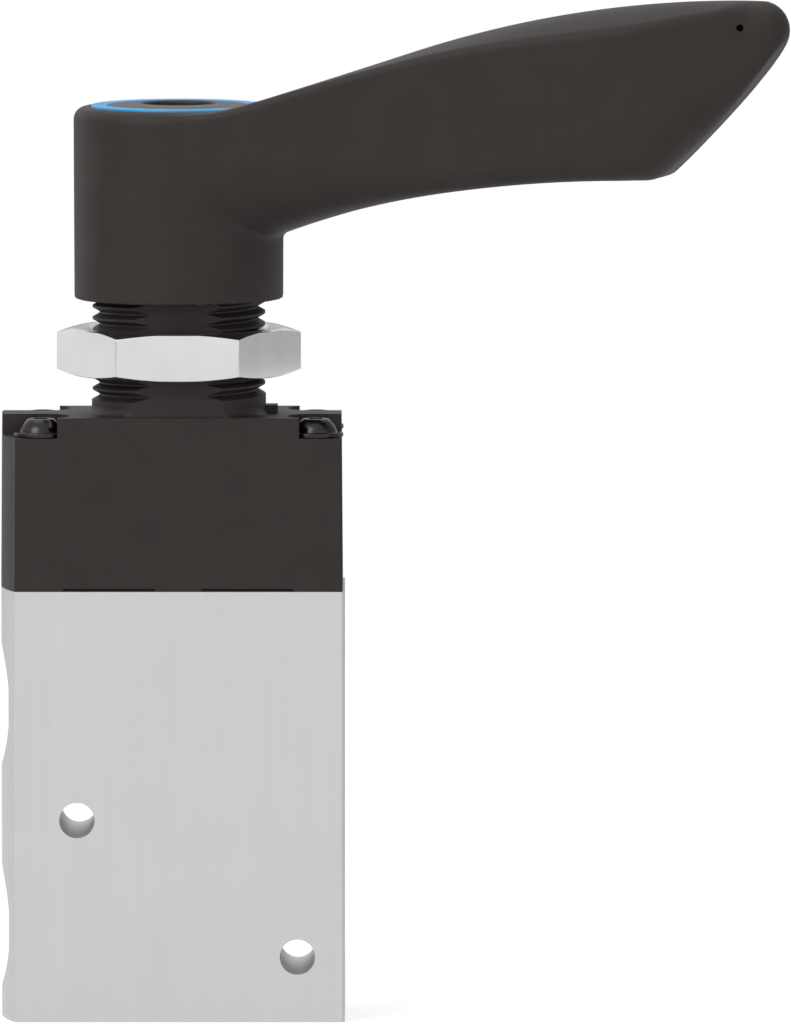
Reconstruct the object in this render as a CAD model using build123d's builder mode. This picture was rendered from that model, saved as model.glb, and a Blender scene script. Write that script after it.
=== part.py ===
from build123d import *
import math
import os

os.makedirs("parts", exist_ok=True)

# Hand lever air valve, a 3/2-way spool valve. Millimetres. The origin is on the axis of the
# spool and lever, at the underside of the block. +X goes to the side with the single port,
# +Y from the front of the valve to its back, +Z up. At rest the lever points to +X, turned a
# little to the front.

# Clearances
running_gap = 0.05          # radial, between pieces that slide or turn on each other
seat_gap = 0.05             # radial, round pieces that stay put
free_gap = 0.3              # between curved faces that pass each other and never touch
cam_gap = 0.12              # between the cam and the tappet's noses

# Aluminium block
block_height = 55.0
block_depth = 20.4
front_half_width = 20.8     # half the width of the flat front face
right_side = 21.15          # from the axis to the flat right side
left_crest = 22.7           # from the axis to the crest of the bulged left side
bore_radius = 7.0
bore_floor = 3.0            # thickness of metal left under the bore

# Ports, G 1/8: one at each cage
lowest_port_z = 11.6
upper_port_drop = 15.0      # from the top of the block down to the uppermost port
port_radius = 4.283         # core radius of the thread
port_mouth_radius = 4.9     # where the mouth's bevel starts
port_depth = 8.5
duct_radius = 2.5
spot_radius = 8.0
left_spot_depth = 1.05
right_spot_depth = 0.2

# Two fixing holes through the block from front to back, the upper one level with the middle port
fixing_hole_radius = 2.25
upper_fixing_x = -12.93
lower_fixing_x = 15.11
lower_fixing_z = 8.33

# Housing on top of the block
housing_height = 22.1
housing_depth = 20.0        # at its foot
housing_draft = 0.4         # degrees
notch_x = 15.35             # from the axis to the side of each corner notch
notch_y = 2.9
notch_depth = 2.6
side_step = 0.5             # how far the top is lower beside the notches
side_step_x = 15.2
foot_slot_height = 0.4
foot_slot_depth = 0.9
foot_slot_inner = 3.0
foot_slot_outer = 14.6
chamber_radius = 8.0
chamber_height = 18.6
key_width = 4.0
key_reach = 9.6
lug_inner = 11.0
lug_outer = 12.6
lug_width = 3.0
lug_height = 1.0

# Neck, M22 x 1.5 on its outside
neck_radius = 11.0
neck_height = 17.4
neck_flats = 19.0           # across the two flats
neck_foot_radius = 11.1
neck_foot_height = 2.4

# Panel nut
nut_flats = 27.0
nut_height = 6.0
nut_above_housing = 4.9
nut_chamfer_angle = 30.0

# Housing screws, M3 with a flanged button head
screw_x = 17.46
screw_y = 6.2
screw_radius = 1.5
screw_length = 28.0
screw_flange_radius = 3.45
screw_flange_height = 0.65
screw_head_radius = 2.75
screw_head_height = 2.3
screw_crown_radius = 1.45
screw_socket = 2.0          # across the flats of the socket
screw_socket_depth = 1.2

# Spindle with its cam
spindle_radius = 5.0
spindle_square = 8.0
spindle_square_length = 14.0
bush_wall = 1.5
lower_bush_length = 6.4
upper_bush_length = 8.5
bush_flange_radius = 8.0
bush_flange_height = 0.8
thrust_washer_height = 0.6
thrust_washer_radius = 7.4
cam_radius = 7.5
cam_plate_height = 2.7
ring_cord_radius = 0.55     # section of the spindle's sealing ring
cam_core_radius = 2.6       # inner end of the cam's ramps

# Motion: the lever turns, the cam pushes the spool down
lever_turn = 90.0           # degrees
spool_travel = 4.0
nose_angle = 40.0           # degrees that each of the tappet's noses takes
stop_gap_angle = 3.0        # degrees left at each stop
stop_height = 2.0           # how far the stops reach below the ramps

# Tappet
tappet_disc_height = 2.5
tappet_stem_radius = 3.9

# Spool, seals and cages
spool_radius = 4.0
spool_waist_radius = 2.6
spool_spigot_radius = 2.6
spool_spigot_length = 2.5
spool_foot_z = 12.4
spool_top_drop = 2.4        # from the top of the block down to the end of the spool
seal_height = 2.4
seal_overlap = 1.1          # how far each land reaches past its seal
cage_wall = 2.2
cage_hole_radius = 2.0
cage_groove_depth = 0.9
cage_groove_height = 5.0
clip_height = 1.0
clip_groove_depth = 0.4
clip_section = 1.3
clip_opening = 50.0         # degrees of the gap in the spring ring
bore_ring_cord_radius = 0.7
spring_radius = 3.5         # to the middle of the wire
spring_wire_radius = 0.4
spring_turns = 5.0
spring_seat_height = 0.5
spring_seat_wall = 0.35

# Lever: hub
hub_radius = 13.4
hub_height = 24.5
hub_draft_inset = 0.09      # how much smaller the hub is at its foot
hub_gap = 14.6              # from the top of the housing to the underside of the hub
hub_top_fillet = 1.5
hub_foot_fillet = 0.5
ring_pocket_depth = 2.0
ring_proud = 0.4
ring_outer_radius = 11.2
ring_inner_radius = 9.0
cap_hole_radius = 4.75
cap_proud = 0.15
insert_flats = 14.0
lever_screw_head_radius = 4.25
lever_screw_head_height = 5.0
lever_screw_radius = 2.5
lever_screw_length = 12.0
lever_screw_socket = 4.0
lever_screw_socket_depth = 2.6
screw_washer_radius = 4.6
screw_washer_height = 1.0

# Lever: arm, seen from its side
lever_rest_angle = 15.0     # degrees that the arm is turned to the front of +X at rest
lever_reach = 80.0          # from the axis to the tip
arm_rise = 14.6             # from the top of the hub to the highest line of the arm
arm_height = 22.7           # at its deepest, near the tip
crown_back = 4.8            # the arm is highest this far back from the tip
crown_line_radius = 139.0   # of the arm's top line
straight_run = 44.0         # back from the highest point, where the top line turns straight
root_drop = 0.2             # how far the arm's top lies below the hub's where it leaves it
root_blend = 1.0            # softens the turn from there to the straight run
belly_back = 18.8           # the underside levels out this far back from the tip
belly_radius = 160.0        # of the underside near the tip
belly_run = 23.0            # length of that arc
belly_start = 4.0           # the underside is level from the axis to here, inside the hub
root_above_foot = 4.4       # and lies this far above the hub's foot
end_foot_back = 17.35       # the slanted end starts this far back from the tip
end_bulge = 1.05            # how far the slanted end swells out of its chord
tip_radius = 3.6            # round of the tip, seen from the side
tip_turn = 33.0             # degrees that the round goes on below the furthest point

# Lever: arm, in plan and in section
arm_half_width = 8.5        # where the bow starts
root_inset = 0.05           # how far the arm's sides lie inside the hub's at the axis
arm_draft = 2.5             # degrees, the arm is narrower below
arm_crown = 2.7             # rise of the top across the arm, near the tip
root_crown = 0.2            # the same at the hub
crown_from = 15.0
top_edge_round = 1.1
bottom_edge_round = 2.4
bow_back = 18.3             # where the sides start to close in towards the tip
bow_tip_radius = 2.5        # round of the tip, in plan
dimple_radius = 0.45        # small hole in the front, near the tip
dimple_floor = 2.0          # from the arm's middle to the end of that hole
dimple_back = 5.4
dimple_drop = 3.2
cut_margin = 10.0           # how far cutting shapes reach past what they cut
arm_sections = 13           # cross-sections that the arm is lofted through
arm_overrun = 2.5           # how far the loft goes on past the tip

# Levels that follow from the sizes above
upper_port_z = block_height - upper_port_drop
port_pitch = (upper_port_z - lowest_port_z) / 2
middle_port_z = lowest_port_z + port_pitch
spool_top_z = block_height - spool_top_drop
housing_top = block_height + housing_height
notch_floor = housing_top - notch_depth
chamber_roof = block_height + chamber_height
neck_top = housing_top + neck_height
nut_foot = housing_top + nut_above_housing
hub_foot = housing_top + hub_gap
hub_top = hub_foot + hub_height
hub_recess_top = neck_top + bush_flange_height + 0.2
ring_floor = hub_top - ring_pocket_depth
bush_outer_radius = spindle_radius + running_gap + bush_wall
insert_top = hub_recess_top + spindle_square_length + 0.3
arm_top = hub_top + arm_rise
arm_bottom = arm_top - arm_height

# Underside between the wide arc and the hub: an arc that goes on at the same slope and comes
# down to its level inside the hub
belly_turn = math.asin(belly_run / belly_radius)
root_run = lever_reach - belly_back - belly_run - belly_start
root_fall = arm_bottom - belly_radius * (1 - math.cos(belly_turn)) - hub_foot - root_above_foot
root_chord_turn = math.atan2(root_fall, root_run)
root_radius = math.hypot(root_run, root_fall) / (2 * math.sin(root_chord_turn - belly_turn))


def outline(plane, depth):
    """Plan of the block and housing: flat right side, bulged left side, broken right corners."""
    corner = right_side - front_half_width
    half = depth / 2
    with BuildSketch(plane) as plan:
        with BuildLine():
            Polyline(
                (-front_half_width, -half),
                (front_half_width, -half),
                (right_side, corner - half),
                (right_side, half - corner),
                (front_half_width, half),
                (-front_half_width, half),
            )
            ThreePointArc((-front_half_width, half), (-left_crest, 0), (-front_half_width, -half))
        make_face()
    return plan.sketch


def turned(points, axis_plane=Plane.XZ):
    """A solid of revolution about Z from the corners of its half section."""
    with BuildPart() as solid:
        with BuildSketch(axis_plane):
            Polygon(*points, align=None)
        revolve(axis=Axis.Z)
    return solid


def ring(middle_radius, cord_radius, height):
    """A sealing ring of round section, centred on Z."""
    with BuildPart() as solid:
        with BuildSketch(Plane.XZ):
            with Locations((middle_radius, height)):
                Circle(cord_radius)
        revolve(axis=Axis.Z)
    return solid


# The block, with the bore for the spool from above
screw_hole_depth = screw_length - (notch_floor - block_height) + 1.0
clip_foot = block_height - 0.8 - clip_height
with BuildPart() as valve_body:
    add(outline(Plane.XY, block_depth))
    extrude(amount=block_height)
    with Locations((0, 0, block_height)):
        Hole(bore_radius, depth=block_height - bore_floor)
    with BuildSketch(Plane.XY.offset(clip_foot)):
        Circle(bore_radius + clip_groove_depth)
    extrude(amount=clip_height + 0.1, mode=Mode.SUBTRACT)
    with Locations((0, 0, block_height)):
        with GridLocations(2 * screw_x, 2 * screw_y, 2, 2):
            Hole(screw_radius + seat_gap, depth=screw_hole_depth)
    for x, z in ((upper_fixing_x, middle_port_z), (lower_fixing_x, lower_fixing_z)):
        with BuildSketch(Plane.XZ):
            with Locations((x, z)):
                Circle(fixing_hole_radius)
        extrude(amount=block_depth, both=True, mode=Mode.SUBTRACT)
    for z, side, face, spot in (
        (lowest_port_z, -1, left_crest, left_spot_depth),
        (middle_port_z, 1, right_side, right_spot_depth),
        (upper_port_z, -1, left_crest, left_spot_depth),
    ):
        mouth = face - spot
        bevel = port_mouth_radius - port_radius
        with BuildSketch(Plane(origin=(side * mouth, 0, z), x_dir=(0, 1, 0), z_dir=(side, 0, 0))):
            Circle(spot_radius)
        extrude(amount=2 * spot, mode=Mode.SUBTRACT)
        with BuildSketch(Plane.XZ):
            with BuildLine():
                Polyline(
                    (0, z),
                    (side * mouth, z),
                    (side * mouth, z + port_mouth_radius),
                    (side * (mouth - bevel), z + port_radius),
                    (side * (mouth - port_depth), z + port_radius),
                    (side * (mouth - port_depth - port_radius / 2), z + duct_radius),
                    (0, z + duct_radius),
                    close=True,
                )
            make_face()
        revolve(axis=Axis((0, 0, z), (1, 0, 0)), mode=Mode.SUBTRACT)

# Cages: drilled sleeves that leave a ring-shaped way round the spool at each port
cage_radius = bore_radius - seat_gap
lower_seal_z = middle_port_z - port_pitch / 2
upper_seal_z = upper_port_z - port_pitch / 2
top_seal_z = upper_port_z + port_pitch / 2


def cage(foot, top, port_z):
    """One sleeve, from one seal to the next, with four holes in a groove at the port."""
    with BuildPart() as sleeve:
        with BuildSketch(Plane.XY.offset(foot)):
            Circle(cage_radius)
            Circle(cage_radius - cage_wall, mode=Mode.SUBTRACT)
        extrude(amount=top - foot)
        with BuildSketch(Plane.XY.offset(port_z - cage_groove_height / 2)):
            Circle(cage_radius + 1)
            Circle(cage_radius - cage_groove_depth, mode=Mode.SUBTRACT)
        extrude(amount=cage_groove_height, mode=Mode.SUBTRACT)
        for side in (Plane.XZ, Plane.YZ):
            with BuildSketch(side):
                with Locations((0, port_z)):
                    Circle(cage_hole_radius)
            extrude(amount=cage_radius + 1, both=True, mode=Mode.SUBTRACT)
    return sleeve


lower_cage = cage(bore_floor, lower_seal_z - seal_height / 2, lowest_port_z)
middle_cage = cage(lower_seal_z + seal_height / 2, upper_seal_z - seal_height / 2, middle_port_z)
upper_cage = cage(upper_seal_z + seal_height / 2, top_seal_z - seal_height / 2, upper_port_z)


def seal(height):
    """A seal ring: a flat body held between two cages and a round lip on the spool."""
    lip = seal_height * 0.4
    with BuildPart() as rubber:
        with BuildSketch(Plane.XZ):
            lip_middle = spool_radius + running_gap + lip
            width = cage_radius - lip_middle
            with Locations((lip_middle + width / 2, height)):
                Rectangle(width, seal_height)
            with Locations((lip_middle, height)):
                Circle(lip)
        revolve(axis=Axis.Z)
    return rubber


lower_seal = seal(lower_seal_z)
upper_seal = seal(upper_seal_z)
top_seal = seal(top_seal_z)

# Guide bush over the stack, with a groove for its sealing ring
retainer_foot = top_seal_z + seal_height / 2
retainer_top = clip_foot
groove_middle = (retainer_foot + retainer_top) / 2
groove_radius = cage_radius - 2 * bore_ring_cord_radius
with BuildPart() as stack_retainer:
    with BuildSketch(Plane.XY.offset(retainer_foot)):
        Circle(cage_radius)
        Circle(spool_radius + running_gap, mode=Mode.SUBTRACT)
    extrude(amount=retainer_top - retainer_foot)
    with BuildSketch(Plane.XY.offset(groove_middle - bore_ring_cord_radius - seat_gap)):
        Circle(cage_radius + 1)
        Circle(groove_radius, mode=Mode.SUBTRACT)
    extrude(amount=2 * (bore_ring_cord_radius + seat_gap), mode=Mode.SUBTRACT)

retainer_oring = ring(cage_radius - bore_ring_cord_radius, bore_ring_cord_radius, groove_middle)

# Spring ring in its groove, open on one side
clip_outer = bore_radius + clip_groove_depth - seat_gap
with BuildPart() as retaining_ring:
    with BuildSketch(Plane.XY.offset(clip_foot)):
        Circle(clip_outer)
        Circle(clip_outer - clip_section, mode=Mode.SUBTRACT)
        with BuildLine():
            half_gap = math.radians(clip_opening / 2)
            far = 2 * bore_radius
            Polyline(
                (0, 0),
                (far * math.cos(half_gap), far * math.sin(half_gap)),
                (far * math.cos(half_gap), -far * math.sin(half_gap)),
                close=True,
            )
        make_face(mode=Mode.SUBTRACT)
    extrude(amount=clip_height)

# Spool: the lower land shuts the lowest port at rest, the waist joins the other two
lower_land_top = lower_seal_z + seal_height / 2 + seal_overlap
upper_land_foot = upper_seal_z - seal_height / 2 + spool_travel - seal_overlap
waist_bevel = spool_radius - spool_waist_radius
spool = turned([
    (0, spool_foot_z - spool_spigot_length),
    (spool_spigot_radius, spool_foot_z - spool_spigot_length),
    (spool_spigot_radius, spool_foot_z),
    (spool_radius, spool_foot_z),
    (spool_radius, lower_land_top),
    (spool_waist_radius, lower_land_top + waist_bevel),
    (spool_waist_radius, upper_land_foot - waist_bevel),
    (spool_radius, upper_land_foot),
    (spool_radius, spool_top_z),
    (0, spool_top_z),
])

# Cup washer on the floor of the bore and the return spring in it
seat_outer = cage_radius - cage_wall - seat_gap
seat_bore = spring_radius - spring_wire_radius - 1.0
spring_seat = turned([
    (seat_bore, bore_floor),
    (seat_outer, bore_floor),
    (seat_outer, bore_floor + 3 * spring_seat_height),
    (seat_outer - spring_seat_wall, bore_floor + 3 * spring_seat_height),
    (seat_outer - spring_seat_wall, bore_floor + spring_seat_height),
    (seat_bore, bore_floor + spring_seat_height),
])

spring_foot = bore_floor + spring_seat_height
spring_length = spool_foot_z - spring_foot
coil_height = spring_length - 2 * spring_wire_radius
with BuildPart() as return_spring:
    with BuildLine(Plane.XY.offset(spring_foot + spring_wire_radius)) as coil:
        Helix(pitch=coil_height / spring_turns, height=coil_height, radius=spring_radius)
    with BuildSketch(Plane(origin=coil.line @ 0, z_dir=coil.line % 0)):
        Circle(spring_wire_radius)
    sweep(is_frenet=True)

# Housing: drafted block, corner notches, neck with flats, and the chamber for the cam
key_slot_reach = key_reach + free_gap
with BuildPart() as control_housing:
    add(outline(Plane.XY.offset(block_height), housing_depth))
    extrude(amount=housing_height, taper=housing_draft)
    with BuildSketch(Plane.XY.offset(notch_floor)):
        notch = left_crest - notch_x + 1
        notch_middle = notch_x + notch / 2
        with GridLocations(2 * notch_middle, 2 * (notch_y + block_depth / 2), 2, 2):
            Rectangle(notch, block_depth)
        with GridLocations(2 * screw_x, 2 * screw_y, 2, 2):
            Circle(screw_flange_radius + seat_gap + 0.1)
    extrude(amount=notch_depth, mode=Mode.SUBTRACT)
    with BuildSketch(Plane.XY.offset(housing_top - side_step)):
        with GridLocations(2 * side_step_x + notch, 0, 2, 1):
            Rectangle(notch, block_depth)
    extrude(amount=side_step, mode=Mode.SUBTRACT)
    with BuildSketch(Plane.XY.offset(block_height)):
        slot_middle = (foot_slot_inner + foot_slot_outer) / 2
        with GridLocations(2 * slot_middle, housing_depth, 2, 2):
            Rectangle(foot_slot_outer - foot_slot_inner, 2 * foot_slot_depth)
    extrude(amount=foot_slot_height, mode=Mode.SUBTRACT)
    with BuildSketch(Plane.XY.offset(housing_top)):
        Circle(neck_foot_radius)
        Rectangle(2 * neck_foot_radius, neck_flats, mode=Mode.INTERSECT)
    extrude(amount=neck_foot_height)
    with BuildSketch(Plane.XY.offset(housing_top + neck_foot_height)):
        Circle(neck_radius)
        Rectangle(2 * neck_radius, neck_flats, mode=Mode.INTERSECT)
    extrude(amount=neck_height - neck_foot_height)
    with BuildSketch(Plane.XY.offset(housing_top)):
        with Locations(((lug_inner + lug_outer) / 2 - 0.5, 0)):
            Rectangle(lug_outer - lug_inner + 1, lug_width)
    extrude(amount=lug_height)
    with BuildSketch(Plane.XY.offset(block_height)):
        Circle(chamber_radius)
        Rectangle(2 * key_slot_reach, key_width + 2 * running_gap)
    extrude(amount=chamber_height, mode=Mode.SUBTRACT)
    with BuildSketch(Plane.XY.offset(chamber_roof)):
        Circle(spindle_radius + running_gap)
    extrude(amount=neck_top - chamber_roof, mode=Mode.SUBTRACT)
    with BuildSketch(Plane.XY.offset(chamber_roof)):
        Circle(bush_outer_radius)
    extrude(amount=lower_bush_length, mode=Mode.SUBTRACT)
    with BuildSketch(Plane.XY.offset(neck_top)):
        Circle(bush_outer_radius)
    extrude(amount=-upper_bush_length, mode=Mode.SUBTRACT)
    with Locations((0, 0, notch_floor)):
        with GridLocations(2 * screw_x, 2 * screw_y, 2, 2):
            Hole(screw_radius + seat_gap, depth=notch_floor - block_height)

# Flanged button-head screws
socket_corner = screw_socket / 2 / math.cos(math.radians(30))
with BuildPart() as screw:
    with BuildSketch(Plane.XZ):
        with BuildLine():
            Polyline(
                (0, notch_floor - screw_length),
                (screw_radius, notch_floor - screw_length),
                (screw_radius, notch_floor),
                (screw_flange_radius, notch_floor),
                (screw_flange_radius, notch_floor + screw_flange_height),
                (screw_head_radius, notch_floor + screw_flange_height),
            )
            dome_middle = (screw_head_radius + screw_crown_radius) / 2 + 0.25
            dome_height = (screw_head_height + screw_flange_height) / 2 + 0.3
            ThreePointArc(
                (screw_head_radius, notch_floor + screw_flange_height),
                (dome_middle, notch_floor + dome_height),
                (screw_crown_radius, notch_floor + screw_head_height),
            )
            Polyline(
                (screw_crown_radius, notch_floor + screw_head_height),
                (0, notch_floor + screw_head_height),
                (0, notch_floor - screw_length),
            )
        make_face()
    revolve(axis=Axis.Z)
    with BuildSketch(Plane.XY.offset(notch_floor + screw_head_height)):
        RegularPolygon(socket_corner, 6)
    extrude(amount=-screw_socket_depth, mode=Mode.SUBTRACT)
with BuildPart() as housing_screws:
    with GridLocations(2 * screw_x, 2 * screw_y, 2, 2):
        add(screw.part)

# Panel nut: hexagon with its corners taken off by a cone at both ends
nut_corner = nut_flats / 2 / math.cos(math.radians(30))
nut_bevel = (nut_corner - nut_flats / 2) * math.tan(math.radians(nut_chamfer_angle))
with BuildPart() as panel_nut:
    with BuildSketch(Plane.XY.offset(nut_foot)):
        RegularPolygon(nut_corner, 6)
        Circle(neck_radius + seat_gap, mode=Mode.SUBTRACT)
    extrude(amount=nut_height)
    with BuildSketch(Plane.XZ):
        Polygon(
            (0, nut_foot),
            (nut_flats / 2, nut_foot),
            (nut_corner, nut_foot + nut_bevel),
            (nut_corner, nut_foot + nut_height - nut_bevel),
            (nut_flats / 2, nut_foot + nut_height),
            (0, nut_foot + nut_height),
            align=None,
        )
    revolve(axis=Axis.Z, mode=Mode.INTERSECT)

# Bearings of the spindle
lower_bush = turned([
    (spindle_radius + running_gap, chamber_roof),
    (bush_outer_radius, chamber_roof),
    (bush_outer_radius, chamber_roof + lower_bush_length),
    (spindle_radius + running_gap, chamber_roof + lower_bush_length),
])
upper_bush = turned([
    (spindle_radius + running_gap, neck_top - upper_bush_length),
    (bush_outer_radius, neck_top - upper_bush_length),
    (bush_outer_radius, neck_top),
    (bush_flange_radius, neck_top),
    (bush_flange_radius, neck_top + bush_flange_height),
    (spindle_radius + running_gap, neck_top + bush_flange_height),
])
washer_foot = chamber_roof - thrust_washer_height
thrust_washer = turned([
    (spindle_radius + running_gap, washer_foot),
    (thrust_washer_radius, washer_foot),
    (thrust_washer_radius, chamber_roof),
    (spindle_radius + running_gap, chamber_roof),
])

# Face cam: the underside of the cam is two helical ramps. Turning it by lever_turn brings
# the ramp down by spool_travel, and the tappet's noses have the same helix, so they stay
# seated on it. The noses run between the stops, which end the turn both ways.
lead = spool_travel * 360 / lever_turn
rise_per_degree = spool_travel / lever_turn
nose_start = 90 - nose_angle / 2            # the first nose stands at the back, on +Y
ramp_start = nose_start - lever_turn - stop_gap_angle
ramp_angle = lever_turn + nose_angle + 2 * stop_gap_angle
cam_plate_top = washer_foot - running_gap
cam_plate_foot = cam_plate_top - cam_plate_height
ramp_low = cam_plate_foot - rise_per_degree * ramp_angle
stop_foot = ramp_low - stop_height


def helical_block(inner, outer, start, angle, level, height):
    """A sector of a screw thread: a radial rectangle carried round and up a helix.

    Its underside is at the level given at the start angle when the height is positive,
    and its top face is there when the height is negative.
    """
    with BuildPart() as block:
        with BuildLine(Plane.XY.offset(level)) as path:
            Helix(pitch=lead, height=rise_per_degree * angle, radius=(inner + outer) / 2)
        with BuildSketch(Plane.XZ):
            with Locations(((inner + outer) / 2, level + height / 2)):
                Rectangle(outer - inner, abs(height))
        sweep(is_frenet=True)
    return Rot(0, 0, start) * block.part


spindle_top = hub_recess_top + spindle_square_length
square_foot = hub_recess_top
ring_groove_z = (chamber_roof + lower_bush_length + neck_top - upper_bush_length) / 2
ring_groove_radius = spindle_radius - 2 * ring_cord_radius
ramp_cuts = [
    helical_block(cam_core_radius, cam_radius + 1, ramp_start + turn, ramp_angle, ramp_low,
                  -(rise_per_degree * ramp_angle + stop_height + 1))
    for turn in (0, 180)
]
with BuildPart() as cam_spindle:
    with BuildSketch(Plane.XY.offset(stop_foot)):
        Circle(cam_radius)
    extrude(amount=cam_plate_top - stop_foot)
    with BuildSketch(Plane.XY.offset(cam_plate_top)):
        Circle(spindle_radius)
    extrude(amount=square_foot - cam_plate_top)
    with BuildSketch(Plane.XY.offset(square_foot)):
        Circle(spindle_radius)
        Rectangle(spindle_square, spindle_square, mode=Mode.INTERSECT)
    extrude(amount=spindle_square_length)
    for cut in ramp_cuts:
        add(cut, mode=Mode.SUBTRACT)
    with BuildSketch(Plane.XY.offset(ring_groove_z - ring_cord_radius - seat_gap)):
        Circle(spindle_radius + 1)
        Circle(ring_groove_radius, mode=Mode.SUBTRACT)
    extrude(amount=2 * (ring_cord_radius + seat_gap), mode=Mode.SUBTRACT)
    with Locations((0, 0, spindle_top)):
        Hole(lever_screw_radius + seat_gap, depth=lever_screw_length + 1)

spindle_oring = ring(spindle_radius - ring_cord_radius, ring_cord_radius, ring_groove_z)

# Tappet: disc with two keys, two helical noses above and a stem that meets the spool
disc_top = stop_foot - cam_gap * 2
disc_foot = disc_top - tappet_disc_height
nose_level = ramp_low + rise_per_degree * (lever_turn + stop_gap_angle) - cam_gap
nose_outer = cam_radius - free_gap
nose_inner = cam_core_radius + 4 * free_gap
nose_margin = 6.0           # degrees that the cutting helix reaches past each nose
nose_top = nose_level + rise_per_degree * nose_angle


def sector(turn):
    """Plan of one nose: a piece of a ring between two radii."""
    with BuildSketch(Plane.XY.offset(disc_top)) as plan:
        Circle(nose_outer)
        Circle(nose_inner, mode=Mode.SUBTRACT)
        with BuildLine():
            reach = 2 * nose_outer
            first = math.radians(nose_start + turn)
            last = math.radians(nose_start + turn + nose_angle)
            Polyline(
                (0, 0),
                (reach * math.cos(first), reach * math.sin(first)),
                (reach * math.cos(last), reach * math.sin(last)),
                close=True,
            )
        make_face(mode=Mode.INTERSECT)
    return plan.sketch


nose_cuts = [
    helical_block(nose_inner - free_gap, nose_outer + free_gap, nose_start - nose_margin + turn,
                  nose_angle + 2 * nose_margin, nose_level - rise_per_degree * nose_margin,
                  nose_top - nose_level + 1)
    for turn in (0, 180)
]
with BuildPart() as tappet:
    with BuildSketch(Plane.XY.offset(disc_foot)):
        Circle(chamber_radius - free_gap)
        Rectangle(2 * key_reach, key_width)
    extrude(amount=tappet_disc_height)
    with BuildSketch(Plane.XY.offset(spool_top_z)):
        Circle(tappet_stem_radius)
    extrude(amount=disc_foot - spool_top_z)
    for turn in (0, 180):
        add(sector(turn))
        extrude(amount=nose_top - disc_top)
    for cut in nose_cuts:
        add(cut, mode=Mode.SUBTRACT)


# Lever arm: its section changes along the arm by these formulas
def crown_line(x):
    """Height of the top line: an arc about the highest point, straight towards the hub, and
    level over the hub."""
    apex = lever_reach - crown_back
    run = min(apex - x, straight_run)
    drop = crown_line_radius - math.sqrt(crown_line_radius**2 - run**2)
    slope = run / math.sqrt(crown_line_radius**2 - run**2)
    line = arm_top - drop - slope * max(apex - x - straight_run, 0)
    level = hub_top - root_drop
    return (line + level + math.hypot(line - level, root_blend)) / 2


def belly_line(x):
    """Height of the underside: level at the tip, a wide arc, then a tighter one to the hub."""
    run = max(lever_reach - belly_back - max(x, belly_start), 0)
    near = min(run, belly_run)
    angle = math.asin(near / belly_radius)
    drop = belly_radius * (1 - math.cos(angle))
    if run > belly_run:
        steep = math.asin(math.sin(angle) + (run - belly_run) / root_radius)
        drop += root_radius * (math.cos(angle) - math.cos(steep))
    return arm_bottom - drop


def half_width(x):
    """Half the width at the top edges: as wide as the hub at the axis, then a straight taper."""
    widening = hub_radius - root_inset - arm_half_width
    return arm_half_width + widening * (1 - x / (lever_reach - bow_back))


def crown_rise(x):
    """How far the top bulges over its edges: nearly flat at the hub, full at the tip's bow."""
    span = lever_reach - bow_back - crown_from
    share = min(max((x - crown_from) / span, 0), 1)
    return root_crown + (arm_crown - root_crown) * share**2 * (3 - 2 * share)


def arm_section(x):
    """One cross-section: crowned top, sides leaning in downwards, rounded lower edges."""
    top = crown_line(x)
    bottom = belly_line(x)
    wide = half_width(x)
    edge = top - crown_rise(x)
    narrow = wide - (edge - bottom) * math.tan(math.radians(arm_draft))
    with BuildSketch(Plane(origin=(x, 0, 0), x_dir=(0, 1, 0), z_dir=(1, 0, 0))) as section:
        with BuildLine():
            ThreePointArc((-wide, edge), (0, top), (wide, edge))
            Polyline((wide, edge), (narrow, bottom), (-narrow, bottom), (-wide, edge))
        make_face()
        fillet(section.vertices().group_by(Axis.Y)[-1], top_edge_round)
        fillet(section.vertices().group_by(Axis.Y)[0], bottom_edge_round)
    return section.sketch


stations = [(lever_reach + arm_overrun) * k / (arm_sections - 1) for k in range(arm_sections)]
sections = [arm_section(x) for x in stations]

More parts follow.
